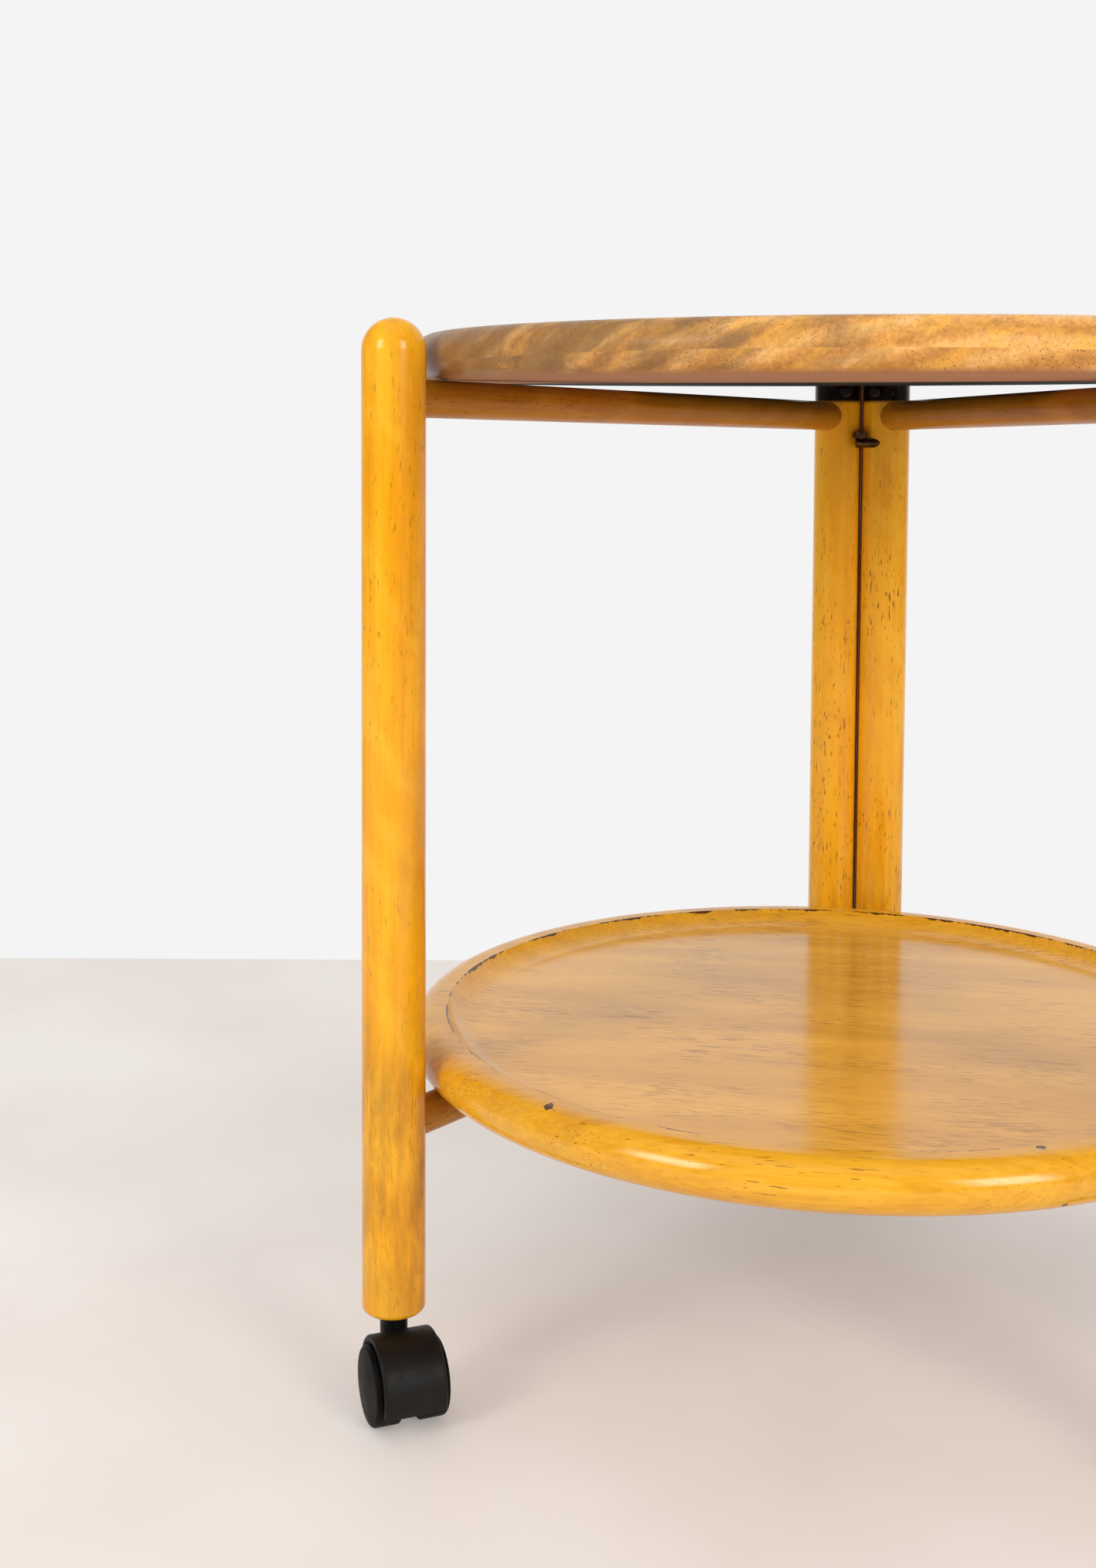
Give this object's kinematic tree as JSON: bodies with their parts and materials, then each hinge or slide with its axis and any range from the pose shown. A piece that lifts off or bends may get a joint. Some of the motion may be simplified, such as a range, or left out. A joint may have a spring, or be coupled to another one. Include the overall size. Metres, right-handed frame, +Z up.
{
  "type": "folding round serving trolley",
  "caption": "Folding wooden serving trolley: hinged post-and-rail gates stand open in a V, carry loose round dished trays at two levels and roll on twin-wheel swivel casters.",
  "frame": {"origin": "on the floor under the middle of the whole trolley's outline", "axes": "+Z up, +Y towards the hinged back posts, -Y towards the open front, +X to the right seen from the front"},
  "size_m": [0.4339, 0.4678, 0.5173],
  "materials": {
    "post_wood": "amber lacquer, glossy",
    "rail_wood": "amber lacquer, satin",
    "tray_wood": "clear lacquer, glossy",
    "peg_rubber": "matt black",
    "hinge_steel": "dark aged",
    "socket_steel": "zinc plated",
    "axle_steel": "zinc plated",
    "hood_nylon": "moulded black",
    "wheel_nylon": "moulded black"
  },
  "bodies": {
    "left_gate": {"left_front_post": "post_wood", "left_back_post": "post_wood", "left_top_rail": "rail_wood", "left_lower_rail": "rail_wood", "left_tray_peg": "peg_rubber", "upper_hinge_eye": "hinge_steel", "lower_hinge_eye": "hinge_steel", "left_caster_socket": "socket_steel", "back_caster_socket": "socket_steel"},
    "right_gate": {"right_front_post": "post_wood", "right_back_post": "post_wood", "right_top_rail": "rail_wood", "right_lower_rail": "rail_wood", "right_tray_peg": "peg_rubber", "upper_hinge_pintle": "hinge_steel", "lower_hinge_pintle": "hinge_steel", "right_caster_socket": "socket_steel"},
    "upper_tray": {"upper_tray": "tray_wood"},
    "lower_tray": {"lower_tray": "tray_wood"},
    "left_caster": {"left_caster_stem": "axle_steel", "left_caster_hood": "hood_nylon", "left_caster_axle": "axle_steel"},
    "left_caster_left_wheel": {"left_caster_left_wheel": "wheel_nylon"},
    "left_caster_right_wheel": {"left_caster_right_wheel": "wheel_nylon"},
    "right_caster": {"right_caster_stem": "axle_steel", "right_caster_hood": "hood_nylon", "right_caster_axle": "axle_steel"},
    "right_caster_left_wheel": {"right_caster_left_wheel": "wheel_nylon"},
    "right_caster_right_wheel": {"right_caster_right_wheel": "wheel_nylon"},
    "back_caster": {"back_caster_stem": "axle_steel", "back_caster_hood": "hood_nylon", "back_caster_axle": "axle_steel"},
    "back_caster_left_wheel": {"back_caster_left_wheel": "wheel_nylon"},
    "back_caster_right_wheel": {"back_caster_right_wheel": "wheel_nylon"}
  },
  "joints": [
    {"name": "frame_fold", "type": "hinge", "parent": "left_gate", "child": "right_gate", "pos_m": [0, 0.20455, 0.3], "axis": [0, 0, 1], "range_deg": [-1, 0]},
    {"name": "upper_tray_lift", "type": "slide", "parent": "left_gate", "child": "upper_tray", "axis": [0, 0, 1], "range_m": [0, 0.15]},
    {"name": "lower_tray_lift", "type": "slide", "parent": "left_gate", "child": "lower_tray", "axis": [0, 0, 1], "range_m": [0, 0.28]},
    {"name": "left_caster_swivel", "type": "hinge", "parent": "left_gate", "child": "left_caster", "pos_m": [-0.19542, -0.14908, 0.0452], "axis": [0, 0, 1], "continuous": true},
    {"name": "left_caster_left_wheel_spin", "type": "hinge", "parent": "left_caster", "child": "left_caster_left_wheel", "pos_m": [-0.18627, -0.16281, 0.018], "axis": [0.832, 0.5548, 0], "continuous": true},
    {"name": "left_caster_right_wheel_spin", "type": "hinge", "parent": "left_caster", "child": "left_caster_right_wheel", "pos_m": [-0.18627, -0.16281, 0.018], "axis": [0.832, 0.5548, 0], "continuous": true},
    {"name": "right_caster_swivel", "type": "hinge", "parent": "right_gate", "child": "right_caster", "pos_m": [0.19542, -0.14908, 0.0452], "axis": [0, 0, 1], "continuous": true},
    {"name": "right_caster_left_wheel_spin", "type": "hinge", "parent": "right_caster", "child": "right_caster_left_wheel", "pos_m": [0.18627, -0.16281, 0.018], "axis": [0.832, -0.5548, 0], "continuous": true},
    {"name": "right_caster_right_wheel_spin", "type": "hinge", "parent": "right_caster", "child": "right_caster_right_wheel", "pos_m": [0.18627, -0.16281, 0.018], "axis": [0.832, -0.5548, 0], "continuous": true},
    {"name": "back_caster_swivel", "type": "hinge", "parent": "left_gate", "child": "back_caster", "pos_m": [-0.01477, 0.21877, 0.0452], "axis": [0, 0, 1], "continuous": true},
    {"name": "back_caster_left_wheel_spin", "type": "hinge", "parent": "back_caster", "child": "back_caster_left_wheel", "pos_m": [-0.01477, 0.20227, 0.018], "axis": [1, 0, 0], "continuous": true},
    {"name": "back_caster_right_wheel_spin", "type": "hinge", "parent": "back_caster", "child": "back_caster_right_wheel", "pos_m": [-0.01477, 0.20227, 0.018], "axis": [1, 0, 0], "continuous": true}
  ]
}
